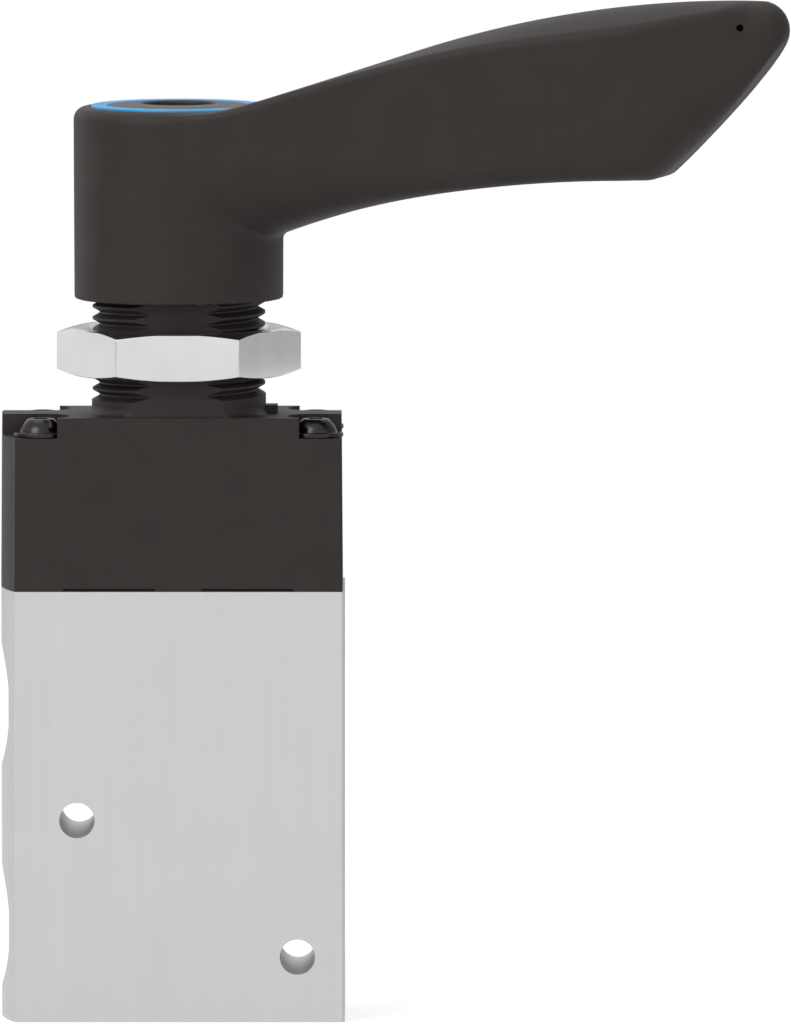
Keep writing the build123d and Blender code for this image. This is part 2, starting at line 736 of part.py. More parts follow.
end_foot = (lever_reach - end_foot_back, arm_bottom)
tip_centre = (lever_reach - tip_radius, arm_top - tip_radius)
tip_low = (
    tip_centre[0] + tip_radius * math.cos(math.radians(tip_turn)),
    tip_centre[1] - tip_radius * math.sin(math.radians(tip_turn)),
)
with BuildPart() as arm:
    loft(sections)
    # Slanted end with its rounded tip, seen from the side
    with BuildSketch(Plane.XZ):
        with BuildLine():
            SagittaArc(end_foot, tip_low, -end_bulge)
            CenterArc(tip_centre, tip_radius, -tip_turn, 90 + tip_turn)
            Polyline(
                (tip_centre[0], arm_top),
                (tip_centre[0], arm_top + cut_margin),
                (lever_reach + cut_margin, arm_top + cut_margin),
                (lever_reach + cut_margin, arm_bottom - cut_margin),
                (end_foot[0], arm_bottom - cut_margin),
                end_foot,
            )
        make_face()
    extrude(amount=2 * arm_half_width, both=True, mode=Mode.SUBTRACT)
    # Sides that close in like a bow, in plan
    bow_start = (lever_reach - bow_back, arm_half_width)
    bow_centre_x = lever_reach - bow_tip_radius
    to_centre = math.hypot(bow_centre_x - bow_start[0], bow_start[1])
    bow_angle = math.asin(bow_start[1] / to_centre) - math.asin(bow_tip_radius / to_centre)
    bow_end = (
        bow_centre_x + bow_tip_radius * math.sin(bow_angle),
        bow_tip_radius * math.cos(bow_angle),
    )
    bow_out = (bow_start[0] - cut_margin, bow_start[1] + cut_margin * math.tan(bow_angle))
    with BuildSketch(Plane.XY.offset(arm_bottom - cut_margin)):
        with BuildLine() as bow:
            Line(bow_out, bow_end)
            ThreePointArc(
                bow_end,
                (bow_centre_x + bow_tip_radius * math.cos(math.radians(45)),
                 bow_tip_radius * math.sin(math.radians(45))),
                (lever_reach, 0),
            )
            Polyline(
                (lever_reach, 0),
                (lever_reach + cut_margin, 0),
                (lever_reach + cut_margin, 3 * arm_half_width),
                (bow_out[0], 3 * arm_half_width),
                bow_out,
            )
        make_face()
        mirror(about=Plane.XZ)
    extrude(amount=arm_height + 3 * cut_margin, mode=Mode.SUBTRACT)
    with BuildSketch(Plane.XZ.offset(dimple_floor)):
        with Locations((lever_reach - dimple_back, arm_top - dimple_drop)):
            Circle(dimple_radius)
    extrude(amount=arm_half_width, mode=Mode.SUBTRACT)

with BuildPart() as lever_handle:
    add(arm.part, rotation=(0, 0, -lever_rest_angle))
    # Hub with rounded rims
    with BuildSketch(Plane.XZ) as hub_half:
        Polygon(
            (0, hub_foot),
            (hub_radius - hub_draft_inset, hub_foot),
            (hub_radius, hub_top),
            (0, hub_top),
            align=None,
        )
        rims = hub_half.vertices().group_by(Axis.X)
        fillet(rims[-1], hub_top_fillet)
        fillet(hub_half.vertices().sort_by(Axis.Y)[:2].sort_by(Axis.X)[-1], hub_foot_fillet)
    revolve(axis=Axis.Z)
    # Round seat for the blue ring, recess over the neck, seat for the insert, way to the screw
    with BuildSketch(Plane.XY.offset(ring_floor)):
        Circle(ring_outer_radius + seat_gap)
    extrude(amount=arm_rise + ring_pocket_depth, mode=Mode.SUBTRACT)
    with BuildSketch(Plane.XY.offset(hub_foot)):
        Circle(neck_radius + free_gap)
    extrude(amount=hub_recess_top - hub_foot, mode=Mode.SUBTRACT)
    with BuildSketch(Plane.XY.offset(hub_recess_top)):
        RegularPolygon(insert_flats / 2, 6, major_radius=False)
    extrude(amount=insert_top - hub_recess_top, mode=Mode.SUBTRACT)
    with BuildSketch(Plane.XY.offset(insert_top)):
        Circle(cap_hole_radius)
    extrude(amount=ring_floor - insert_top, mode=Mode.SUBTRACT)

# Insert in the hub, with the square that turns the spindle
with BuildPart() as hub_insert:
    with BuildSketch(Plane.XY.offset(hub_recess_top)):
        RegularPolygon(insert_flats / 2, 6, major_radius=False)
        square_gap = 2 * seat_gap
        with BuildSketch(mode=Mode.PRIVATE) as square_hole:
            Circle(spindle_radius + seat_gap)
            Rectangle(
                spindle_square + square_gap, spindle_square + square_gap, mode=Mode.INTERSECT
            )
        add(square_hole.sketch, mode=Mode.SUBTRACT)
    extrude(amount=insert_top - hub_recess_top)

# Screw and washer that hold the lever on the spindle
screw_seat = insert_top + screw_washer_height
screw_washer = turned([
    (lever_screw_radius + seat_gap, insert_top),
    (screw_washer_radius, insert_top),
    (screw_washer_radius, screw_seat),
    (lever_screw_radius + seat_gap, screw_seat),
])
head_bevel = 0.3
with BuildPart() as lever_screw:
    with BuildSketch(Plane.XZ):
        Polygon(
            (0, screw_seat - lever_screw_length),
            (lever_screw_radius, screw_seat - lever_screw_length),
            (lever_screw_radius, screw_seat),
            (lever_screw_head_radius, screw_seat),
            (lever_screw_head_radius, screw_seat + lever_screw_head_height - head_bevel),
            (lever_screw_head_radius - head_bevel, screw_seat + lever_screw_head_height),
            (0, screw_seat + lever_screw_head_height),
            align=None,
        )
    revolve(axis=Axis.Z)
    with BuildSketch(Plane.XY.offset(screw_seat + lever_screw_head_height)):
        RegularPolygon(lever_screw_socket / 2, 6, major_radius=False)
    extrude(amount=-lever_screw_socket_depth, mode=Mode.SUBTRACT)

# Blue ring and the cap inside it
ring_bevel = 0.3
indicator_ring = turned([
    (ring_inner_radius + seat_gap, ring_floor),
    (ring_outer_radius, ring_floor),
    (ring_outer_radius, hub_top + ring_proud - ring_bevel),
    (ring_outer_radius - ring_bevel, hub_top + ring_proud),
    (ring_inner_radius + seat_gap, hub_top + ring_proud),
])
hub_cap = turned([
    (cap_hole_radius, ring_floor),
    (ring_inner_radius, ring_floor),
    (ring_inner_radius, hub_top + cap_proud),
    (cap_hole_radius + ring_bevel, hub_top + cap_proud),
    (cap_hole_radius, hub_top + cap_proud - ring_bevel),
])

pieces = {
    "valve_body": valve_body,
    "lower_cage": lower_cage,
    "middle_cage": middle_cage,
    "upper_cage": upper_cage,
    "lower_seal": lower_seal,
    "upper_seal": upper_seal,
    "top_seal": top_seal,
    "stack_retainer": stack_retainer,
    "retainer_oring": retainer_oring,
    "retaining_ring": retaining_ring,
    "spool": spool,
    "spring_seat": spring_seat,
    "return_spring": return_spring,
    "control_housing": control_housing,
    "housing_screws": housing_screws,
    "panel_nut": panel_nut,
    "lower_bush": lower_bush,
    "upper_bush": upper_bush,
    "thrust_washer": thrust_washer,
    "cam_spindle": cam_spindle,
    "spindle_oring": spindle_oring,
    "tappet": tappet,
    "lever_handle": lever_handle,
    "hub_insert": hub_insert,
    "screw_washer": screw_washer,
    "lever_screw": lever_screw,
    "indicator_ring": indicator_ring,
    "hub_cap": hub_cap,
}
for name, piece in pieces.items():
    piece.part.label = name
    export_step(piece.part, f"parts/{name}.step")
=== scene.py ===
import math
import bmesh
import bpy
import numpy as np
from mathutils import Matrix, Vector


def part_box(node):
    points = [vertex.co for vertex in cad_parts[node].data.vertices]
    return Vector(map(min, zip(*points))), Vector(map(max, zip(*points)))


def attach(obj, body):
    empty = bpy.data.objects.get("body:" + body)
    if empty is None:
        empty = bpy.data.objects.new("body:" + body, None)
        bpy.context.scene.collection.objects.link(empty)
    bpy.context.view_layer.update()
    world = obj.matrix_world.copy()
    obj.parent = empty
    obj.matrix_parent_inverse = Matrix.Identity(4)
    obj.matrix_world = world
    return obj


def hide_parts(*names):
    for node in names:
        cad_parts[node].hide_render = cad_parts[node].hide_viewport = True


# Hand lever air valve. X is the way the lever points at rest, Y goes to the back, Z is up.
# Sizes here are in millimetres; meshes go to Blender's metres through mm.

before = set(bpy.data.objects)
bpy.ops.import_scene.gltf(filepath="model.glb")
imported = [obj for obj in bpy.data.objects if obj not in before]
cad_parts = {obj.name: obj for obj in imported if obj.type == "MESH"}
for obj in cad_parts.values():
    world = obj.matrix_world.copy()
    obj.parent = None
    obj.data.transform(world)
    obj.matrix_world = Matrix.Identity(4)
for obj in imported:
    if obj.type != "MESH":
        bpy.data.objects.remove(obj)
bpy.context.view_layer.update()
scene = bpy.context.scene
scene.view_settings.view_transform = "Standard"
mm = 0.001
print("frame loaded:", len(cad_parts), "nodes")


def meshPoints(mesh):
    # the mesh's points in mm
    points = np.empty(len(mesh.vertices) * 3)
    mesh.vertices.foreach_get("co", points)
    return points.reshape(-1, 3) / mm


def nodeBox(node):
    # lowest and highest corner of a CAD node, in mm
    low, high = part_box(node)
    return np.array(low) / mm, np.array(high) / mm


def unit(v):
    # vectors along the last axis, at length one
    return v / np.maximum(np.linalg.norm(v, axis=-1, keepdims=True), 1e-12)


# Meshes

def setNormals(mesh, smoothAngle):
    # outward normals on the merged mesh, smooth up to the angle
    edit = bmesh.new()
    edit.from_mesh(mesh)
    bmesh.ops.remove_doubles(edit, verts=edit.verts, dist=0.0005 * mm)
    bmesh.ops.dissolve_degenerate(edit, edges=edit.edges, dist=0.0002 * mm)
    bmesh.ops.recalc_face_normals(edit, faces=edit.faces)
    edit.to_mesh(mesh)
    edit.free()
    mesh.shade_smooth()
    mesh.set_sharp_from_angle(angle=math.radians(smoothAngle))


def newPiece(name, points, faces, smoothAngle=30):
    # object at the origin from points in mm and lists of their numbers
    mesh = bpy.data.meshes.new(name)
    faces = faces.tolist() if isinstance(faces, np.ndarray) else faces
    mesh.from_pydata((np.asarray(points).reshape(-1, 3) * mm).tolist(), [], faces)
    setNormals(mesh, smoothAngle)
    piece = bpy.data.objects.new(name, mesh)
    scene.collection.objects.link(piece)
    return piece


def bakeModifiers(piece):
    # the mesh with its modifiers worked in
    graph = bpy.context.evaluated_depsgraph_get()
    mesh = bpy.data.meshes.new_from_object(piece.evaluated_get(graph))
    old = piece.data
    piece.modifiers.clear()
    piece.data = mesh
    bpy.data.meshes.remove(old)
    mesh.name = piece.name


def combine(piece, tool, operation, smoothAngle=30):
    # joins the tool's solid to the piece or takes it away, then drops the tool
    step = piece.modifiers.new("combine", "BOOLEAN")
    step.object = tool
    step.operation = operation
    step.solver = "EXACT"
    bakeModifiers(piece)
    mesh = tool.data
    bpy.data.objects.remove(tool)
    bpy.data.meshes.remove(mesh)
    piece.data.shade_smooth()
    piece.data.set_sharp_from_angle(angle=math.radians(smoothAngle))


def breakEdges(piece, width, angle=30, segments=3):
    # small round on every edge sharper than the angle, as a tumbled or moulded edge has
    step = piece.modifiers.new("edges", "BEVEL")
    step.width = width * mm
    step.segments = segments
    step.limit_method = "ANGLE"
    step.angle_limit = math.radians(angle)
    step.miter_outer = "MITER_ARC"
    bakeModifiers(piece)


def evenShading(piece):
    # big flat faces decide the shading, so that the small rounds beside them don't bend it
    step = piece.modifiers.new("shading", "WEIGHTED_NORMAL")
    step.mode = "FACE_AREA"
    step.weight = 100
    step.keep_sharp = True
    bakeModifiers(piece)


def copyOfNode(node, name):
    # the CAD node's shape as one closed mesh: equal points merged, flat triangles joined
    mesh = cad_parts[node].data
    corners = np.empty(len(mesh.loops), int)
    mesh.loops.foreach_get("vertex_index", corners)
    spots, number = np.unique(np.round(meshPoints(mesh), 3), axis=0, return_inverse=True)
    faces = number.reshape(-1)[corners].reshape(-1, 3)
    whole = (faces != np.roll(faces, 1, axis=1)).all(1)
    piece = newPiece(name, spots, faces[whole])
    edit = bmesh.new()
    edit.from_mesh(piece.data)
    bmesh.ops.dissolve_limit(edit, angle_limit=math.radians(0.3), verts=edit.verts, edges=edit.edges)
    edit.to_mesh(piece.data)
    edit.free()
    return piece


def gridFaces(rows, columns, closeRows=False):
    # quads of a grid of points whose columns close into a ring
    i = np.arange(rows if closeRows else rows - 1)[:, None]
    j = np.arange(columns)[None, :]
    up, over = (i + 1) % rows, (j + 1) % columns
    quads = [i * columns + j, i * columns + over, up * columns + over, up * columns + j]
    return np.stack(np.broadcast_arrays(*quads), -1).reshape(-1, 4)


def roundedLoop(corners, steps=4):
    # closed profile of (radius, height, rounding): each corner becomes a curve that leaves one
    # side and meets the next at the rounding's length; radii may be arrays over the angle
    spots = [np.stack(np.broadcast_arrays(np.asarray(r, float), z), -1) for r, z, _ in corners]
    rows = []
    for k, (_, _, size) in enumerate(corners):
        here, before, after = spots[k], spots[k - 1], spots[(k + 1) % len(spots)]
        start = here + size * unit(before - here)
        end = here + size * unit(after - here)
        for t in np.linspace(0, 1, steps + 1 if size else 1):
            rows.append((1 - t) ** 2 * start + 2 * t * (1 - t) * here + t**2 * end)
    return np.stack(rows)


def lathe(name, corners, segments=96, smoothAngle=30, centre=(0, 0), turn=None):
    # the rounded profile carried round Z, in even steps unless the angles are given
    if turn is None:
        turn = np.arange(segments) / segments * 2 * np.pi
    profile = roundedLoop(corners)
    if profile.ndim == 2:
        profile = np.repeat(profile[:, None, :], len(turn), axis=1)
    points = np.stack([
        centre[0] + profile[..., 0] * np.cos(turn),
        centre[1] + profile[..., 0] * np.sin(turn),
        profile[..., 1],
    ], -1)
    return newPiece(name, points, gridFaces(len(profile), len(turn), closeRows=True), smoothAngle)


def hexPrism(name, flats, low, high, centre=(0, 0), firstAngle=0):
    # hexagonal prism on end, its first corner at an angle from X
    corner = flats / 2 / math.cos(math.radians(30))
    turn = np.radians(firstAngle + 60 * np.arange(6))
    ring = np.stack([centre[0] + corner * np.cos(turn), centre[1] + corner * np.sin(turn)], -1)
    points = np.concatenate([np.column_stack([ring, np.full(6, z)]) for z in (low, high)])
    faces = gridFaces(2, 6).tolist() + [list(range(5, -1, -1)), list(range(6, 12))]
    return newPiece(name, points, faces)


def threadGroove(name, mouth, root, pitch, firstTurn, turns, height, stepsPerTurn=72):
    # solid along a helix, pitch / 8 wide at the thread's root and with 60 degree flanks, at
    # the height given where the angle is zero
    turn = 2 * np.pi * (firstTurn + np.linspace(0, turns, int(turns * stepsPerTurn) + 1))
    rootWidth = pitch / 8
    mouthWidth = rootWidth + 2 * abs(mouth - root) * math.tan(math.radians(30))
    radius = np.array([mouth, root, root, mouth])
    lift = np.array([-mouthWidth, -rootWidth, rootWidth, mouthWidth]) / 2
    points = np.stack(np.broadcast_arrays(
        radius * np.cos(turn)[:, None],
        radius * np.sin(turn)[:, None],
        height + lift + pitch * turn[:, None] / (2 * np.pi),
    ), -1)
    rows = len(turn)
    last = 4 * (rows - 1)
    ends = [[3, 2, 1, 0], [last, last + 1, last + 2, last + 3]]
    return newPiece(name, points, gridFaces(rows, 4).tolist() + ends)


# Materials

def linear(hexColour):
    # sRGB hex to the linear colour that a socket takes
    parts = np.array([int(hexColour[k:k + 2], 16) for k in (1, 3, 5)]) / 255
    return (*np.where(parts <= 0.04045, parts / 12.92, ((parts + 0.055) / 1.055) ** 2.4), 1.0)


def addNode(tree, kind, inputs=None, **settings):
    # one node with its settings, and each input set to a value or linked to a socket
    node = tree.nodes.new(kind)
    for name, value in settings.items():
        setattr(node, name, value)
    for name, value in (inputs or {}).items():
        if isinstance(value, bpy.types.NodeSocket):
            tree.links.new(value, node.inputs[name])
        else:
            node.inputs[name].default_value = value
    return node


def newMaterial(name, **shader):
    # material with a Principled shader, returned with its tree, shader and Object coordinates
    material = bpy.data.materials.new(name)
    material.use_nodes = True
    tree = material.node_tree
    tree.nodes.clear()
    body = addNode(tree, "ShaderNodeBsdfPrincipled", shader)
    addNode(tree, "ShaderNodeOutputMaterial", {"Surface": body.outputs["BSDF"]})
    place = addNode(tree, "ShaderNodeTexCoord").outputs["Object"]
    return material, tree, body, place


def noise(tree, place, size, stretch=(1, 1, 1), detail=2.0, roughness=0.5):
    # noise whose spots are about size mm across, drawn out along the axes with a stretch over 1
    scaled = addNode(tree, "ShaderNodeMapping", {
        "Vector": place, "Scale": tuple(1 / (size * mm * s) for s in stretch)})
    return addNode(tree, "ShaderNodeTexNoise", {
        "Vector": scaled.outputs["Vector"], "Scale": 1.0, "Detail": detail,
        "Roughness": roughness}).outputs["Fac"]


def spread(tree, value, low, high, fromLow=0.3, fromHigh=0.7):
    # maps a noise value to a range of numbers
    return addNode(tree, "ShaderNodeMapRange", {
        "Value": value, "From Min": fromLow, "From Max": fromHigh,
        "To Min": low, "To Max": high}).outputs["Result"]


def mixColour(tree, factor, first, second):
    # colour between two hex colours
    node = addNode(tree, "ShaderNodeMix", data_type="RGBA")
    tree.links.new(factor, node.inputs["Factor"])
    node.inputs["A"].default_value = linear(first)
    node.inputs["B"].default_value = linear(second)
    return node.outputs["Result"]


def relief(tree, body, height, depth, strength=1.0):
    # bump whose full height is depth mm
    bump = addNode(tree, "ShaderNodeBump", {
        "Height": height, "Distance": depth * mm, "Strength": strength})
    tree.links.new(bump.outputs["Normal"], body.inputs["Normal"])


def dressPiece(piece, material):
    # one material all over
    piece.data.materials.clear()
    piece.data.materials.append(material)


# Extruded aluminium, blasted and clear anodised: an even satin that blurs what it reflects,
# with hardly visible drawing streaks along Z and a fine matt grain
aluminium = {
    "light": "#D7D7D7", "dark": "#D4D4D4", "roughness": (0.40, 0.48),
    "grain": 0.3,          # real blasting grit leaves 0.1 mm pits, too fine to show here
    "streak": 0.9, "streakLength": 60, "blotch": 9.0, "grainDepth": 0.004,
}


def anodisedAluminium():
    material, tree, body, place = newMaterial("clearAnodisedAluminium", Metallic=1.0)
    streaks = noise(tree, place, aluminium["streak"], (1, 1, aluminium["streakLength"]))
    blotches = noise(tree, place, aluminium["blotch"], detail=3)
    grain = noise(tree, place, aluminium["grain"], detail=2)
    both = addNode(tree, "ShaderNodeMath", {0: streaks, 1: blotches}, operation="ADD").outputs[0]
    tone = spread(tree, both, 0, 1, 0.7, 1.3)
    colour = mixColour(tree, tone, aluminium["dark"], aluminium["light"])
    tree.links.new(colour, body.inputs["Base Color"])
    tree.links.new(spread(tree, grain, *aluminium["roughness"]), body.inputs["Roughness"])
    relief(tree, body, grain, aluminium["grainDepth"])
    return material


# Glass-filled nylon, injection moulded in an eroded mould: dark warm grey, soft wide
# highlights broken up by a fine grain, slightly cloudy where the glass lies near the surface
nylon = {
    "light": "#2E2826", "dark": "#282220", "roughness": (0.48, 0.60), "specular": 0.35,
    "grain": 0.28,         # erosion pits are about 0.08 mm, drawn coarser so that they show
    "cloud": 5.0, "grainDepth": 0.006,
}


def mouldedNylon(name, light, dark, roughness, specular=nylon["specular"]):
    material, tree, body, place = newMaterial(name)
    body.inputs["Specular IOR Level"].default_value = specular
    clouds = noise(tree, place, nylon["cloud"], detail=4)
    grain = noise(tree, place, nylon["grain"], detail=2)
    tone = spread(tree, clouds, 0, 1)
    tree.links.new(mixColour(tree, tone, dark, light), body.inputs["Base Color"])
    tree.links.new(spread(tree, grain, *roughness), body.inputs["Roughness"])
    relief(tree, body, grain, nylon["grainDepth"])
    return material


# Steel with a bright zinc plate: nearly a mirror, softened by the turning and milling marks
# left under the plate
zinc = {
    "light": "#E8E8E8", "dark": "#E0E1E2", "roughness": (0.19, 0.24),
    "mark": 0.35,          # cutter marks are about 0.1 mm apart, drawn coarser
    "markStretch": 6, "cloud": 6.0, "markDepth": 0.0003,
}


def zincPlate():
    material, tree, body, place = newMaterial("brightZincPlate", Metallic=1.0)
    clouds = noise(tree, place, zinc["cloud"], detail=3)
    marks = noise(tree, place, zinc["mark"], (zinc["markStretch"], zinc["markStretch"], 1), detail=3)
    tone = spread(tree, clouds, 0, 1)
    tree.links.new(mixColour(tree, tone, zinc["dark"], zinc["light"]), body.inputs["Base Color"])
    tree.links.new(spread(tree, marks, *zinc["roughness"]), body.inputs["Roughness"])
    relief(tree, body, marks, zinc["markDepth"])
    return material


# Turned steel and bronze, and steel turned and then blackened in oil: fine rings round Z that
# draw the highlight out, and slight clouds in the tone
turned = {
    "mark": 0.25,          # the tool's feed is about 0.08 mm, drawn coarser
    "markStretch": 10, "cloud": 2.0, "markDepth": 0.002,
}


def turnedMetal(name, light, dark, roughness):
    material, tree, body, place = newMaterial(name, Metallic=1.0)
    clouds = noise(tree, place, turned["cloud"], detail=3)
    marks = noise(tree, place, turned["mark"], (turned["markStretch"], turned["markStretch"], 1), detail=2)
    tone = spread(tree, clouds, 0, 1)
    tree.links.new(mixColour(tree, tone, dark, light), body.inputs["Base Color"])
    tree.links.new(spread(tree, marks, *roughness), body.inputs["Roughness"])
    relief(tree, body, marks, turned["markDepth"])
    return material


finishes = {
    "aluminium": anodisedAluminium(),
    "housing": mouldedNylon("mouldedGlassFilledNylon", nylon["light"], nylon["dark"],
                            nylon["roughness"]),
    "lever": mouldedNylon("mouldedNylonLever", "#332D2B", "#2D2826", (0.50, 0.61), 0.3),
    "cap": mouldedNylon("mouldedNylonCap", "#332E2D", "#2D2827", (0.36, 0.44)),
    "ring": mouldedNylon("mouldedAcetalBlue", "#1FAAEF", "#1C9EE5", (0.30, 0.38)),
    "acetal": mouldedNylon("machinedAcetal", "#E6E2D8", "#DCD8CC", (0.35, 0.45)),
    "rubber": mouldedNylon("mouldedNitrileRubber", "#1E1D1D", "#181717", (0.55, 0.70)),
    "zinc": zincPlate(),
    "blackOxide": turnedMetal("oiledBlackOxideSteel", "#454342", "#393736", (0.22, 0.30)),
    "steel": turnedMetal("turnedSteel", "#C9C8C5", "#B5B4B1", (0.24, 0.36)),
    "bronze": turnedMetal("sinteredBronze", "#C29A5C", "#AD8648", (0.32, 0.46)),
}
print("materials made:", len(finishes))


# Lever: hub and arm are one moulding. Its skin is where one function of x, y and z is zero.
# The function is a distance in mm, negative inside. Each face has its own, and roundMax and
# roundMin join them with rounded edges and hollow fillets. Points of a regular lattice are
# moved onto the zero surface, so the skin is smooth at any lattice size. Along the arm u runs
# from the axis to the tip and v across it.

restAngle = math.radians(15)       # the arm points this far to the front at rest
leverLow, leverHigh = nodeBox("lever_handle")
ringLow, ringHigh = nodeBox("indicator_ring")
leverPoints = meshPoints(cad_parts["lever_handle"].data)
lever = {
    "cell": 0.45,              # lattice size
    "hubRadius": -leverLow[0], "hubFoot": leverLow[2], "hubTop": ringHigh[2] - 0.45,
    "hubInset": 0.09, "rimRound": 1.6, "footRound": 0.3,
    "reach": (leverPoints @ (math.cos(restAngle), -math.sin(restAngle), 0)).max(),
    "top": leverHigh[2] - 0.02, "height": 22.7,
    # top line: its highest point, its arc, and how it ends at the hub
    "crownBack": 4.8, "crownRadius": 139.0, "curvedRun": 44.0, "rootDrop": 0.2, "rootBlend": 1.0,
    # underside: where its level part ends, the wide arc, and where the tighter one ends
    "bellyBack": 18.8, "bellyRadius": 160.0, "bellyRun": 23.0,
    "bellyStart": 4.0, "rootAboveFoot": 4.4,
    # slanted end, seen from the side
    "footBack": 16.6, "endBulge": 0.75, "tipRadius": 3.1, "tipTurn": 40.0, "endOut": 0.3,
    # sides and bow, seen from above; the draft is in degrees
    "halfWidth": 8.5, "rootInset": 0.1, "backTaper": 0.4, "backEnd": 3.0,
    "bowBack": 18.3, "bowTipRadius": 3.6, "bowSoftness": 0.7, "draft": 2.5,
    # how far the top bulges, at the grip and at the hub
    "crown": 2.7, "rootCrown": 0.2, "crownFrom": 15.0,
    # rounds of the edges, and the fillets between arm and hub
    "topEdge": 0.8, "tipEdge": 3.5, "bottomEdge": 2.4, "rootEdge": 10.0,
    "endCorner": 0.8, "endEdge": 4.0, "endTipEdge": 0.4,
    "sideFillet": 1.2, "bellyFillet": 0.9,
    "dimpleRadius": 0.45, "dimpleBack": 5.4, "dimpleDrop": 3.2, "dimpleFloor": 2.0,
    "neckRadius": 11.3, "screwRadius": 4.75, "ringGap": 0.05,
}
lever["bottom"] = lever["top"] - lever["height"]
bellyTurn = math.asin(lever["bellyRun"] / lever["bellyRadius"])
rootRun = lever["reach"] - lever["bellyBack"] - lever["bellyRun"] - lever["bellyStart"]
rootFall = (lever["bottom"] - lever["bellyRadius"] * (1 - math.cos(bellyTurn))
            - lever["hubFoot"] - lever["rootAboveFoot"])
lever["rootRadius"] = (math.hypot(rootRun, rootFall)
                       / (2 * math.sin(math.atan2(rootFall, rootRun) - bellyTurn)))
draftSlope = math.tan(math.radians(lever["draft"]))


def roundMax(a, b, radius):
    # what lies inside both, its outer edge rounded
    return (np.minimum(np.maximum(a, b), -radius)
            + np.hypot(np.maximum(a + radius, 0), np.maximum(b + radius, 0)))


def roundMin(a, b, radius):
    # what lies inside either, the corner between them filled
    return (np.maximum(np.minimum(a, b), radius)
            - np.hypot(np.maximum(radius - a, 0), np.maximum(radius - b, 0)))


def smoothStep(t):
    t = np.clip(t, 0, 1)
    return t * t * (3 - 2 * t)


def hubField(x, y, z):
    # drafted cylinder with a rounded rim and foot
    k = lever
    share = (k["hubTop"] - z) / (k["hubTop"] - k["hubFoot"])
    side = np.hypot(x, y) - (k["hubRadius"] - k["hubInset"] * share)
    return roundMax(roundMax(side, z - k["hubTop"], k["rimRound"]), k["hubFoot"] - z, k["footRound"])


def armTop(u):
    # height of the top line: an arc about its highest point, straight towards the hub, and
    # level over the hub
    k = lever
    ahead = k["reach"] - k["crownBack"] - u
    run = np.minimum(ahead, k["curvedRun"])
    level = np.sqrt(k["crownRadius"] ** 2 - run**2)
    line = k["top"] - (k["crownRadius"] - level) - run / level * np.maximum(ahead - k["curvedRun"], 0)
    hub = k["hubTop"] - k["rootDrop"]
    return (line + hub + np.hypot(line - hub, k["rootBlend"])) / 2


def armUnderside(u):
    # height and steepness of the underside: level at the grip, a wide arc, then a tighter one
    k = lever
    back = np.maximum(k["reach"] - k["bellyBack"] - np.maximum(u, 0), 0)
    near = np.minimum(back, k["bellyRun"])
    first = np.arcsin(near / k["bellyRadius"])
    steep = np.arcsin(np.sin(first) + (back - near) / k["rootRadius"])
    drop = (k["bellyRadius"] * (1 - np.cos(first))
            + k["rootRadius"] * (np.cos(first) - np.cos(steep)))
    return k["bottom"] - drop, steep


def armEnd(u, z):
    # slanted end: a flat arc from its foot to the round of the tip, seen from the side
    k = lever
    reach = k["reach"] + k["endOut"]       # makes up for what the rounded edges take off
    tipU, tipZ = reach - k["tipRadius"], k["top"] - k["tipRadius"]
    turn = math.radians(k["tipTurn"])
    foot = np.array([reach - k["footBack"], k["bottom"]])
    low = np.array([tipU + k["tipRadius"] * math.cos(turn), tipZ - k["tipRadius"] * math.sin(turn)])
    span = np.hypot(*(low - foot))
    radius = (span**2 / 4 + k["endBulge"] ** 2) / (2 * k["endBulge"])
    inward = np.array([foot[1] - low[1], low[0] - foot[0]]) / span
    middle = (foot + low) / 2 + inward * (radius - k["endBulge"])
    slant = np.hypot(u - middle[0], z - middle[1]) - radius
    tip = np.hypot(np.maximum(u - tipU, 0), np.minimum(z - tipZ, 0)) - k["tipRadius"]
    beyond = (u - tipU) * math.sin(turn) + (z - tipZ) * math.cos(turn) > 0
    return np.where(beyond, tip, slant)


def armSides(u, v, wide, below):
    # sides that lean in downwards, then close in like a bow with a rounded tip, in plan
    k = lever
    across = np.abs(v)
    side = (across - wide + below * draftSlope) * math.cos(math.radians(k["draft"]))
    tipU = k["reach"] - k["bowTipRadius"]
    run = k["bowBack"] - k["bowTipRadius"]
    turn = (math.asin(k["halfWidth"] / math.hypot(run, k["halfWidth"]))
            - math.asin(k["bowTipRadius"] / math.hypot(run, k["halfWidth"])))
    flat = (u - tipU) * math.sin(turn) + across * math.cos(turn) - k["bowTipRadius"]
    tip = np.hypot(u - tipU, across) - k["bowTipRadius"]
    past = (u - tipU) * math.cos(turn) - across * math.sin(turn) > 0
    bow = np.where(past, tip, flat)
    return (side + bow + np.hypot(side - bow, k["bowSoftness"])) / 2


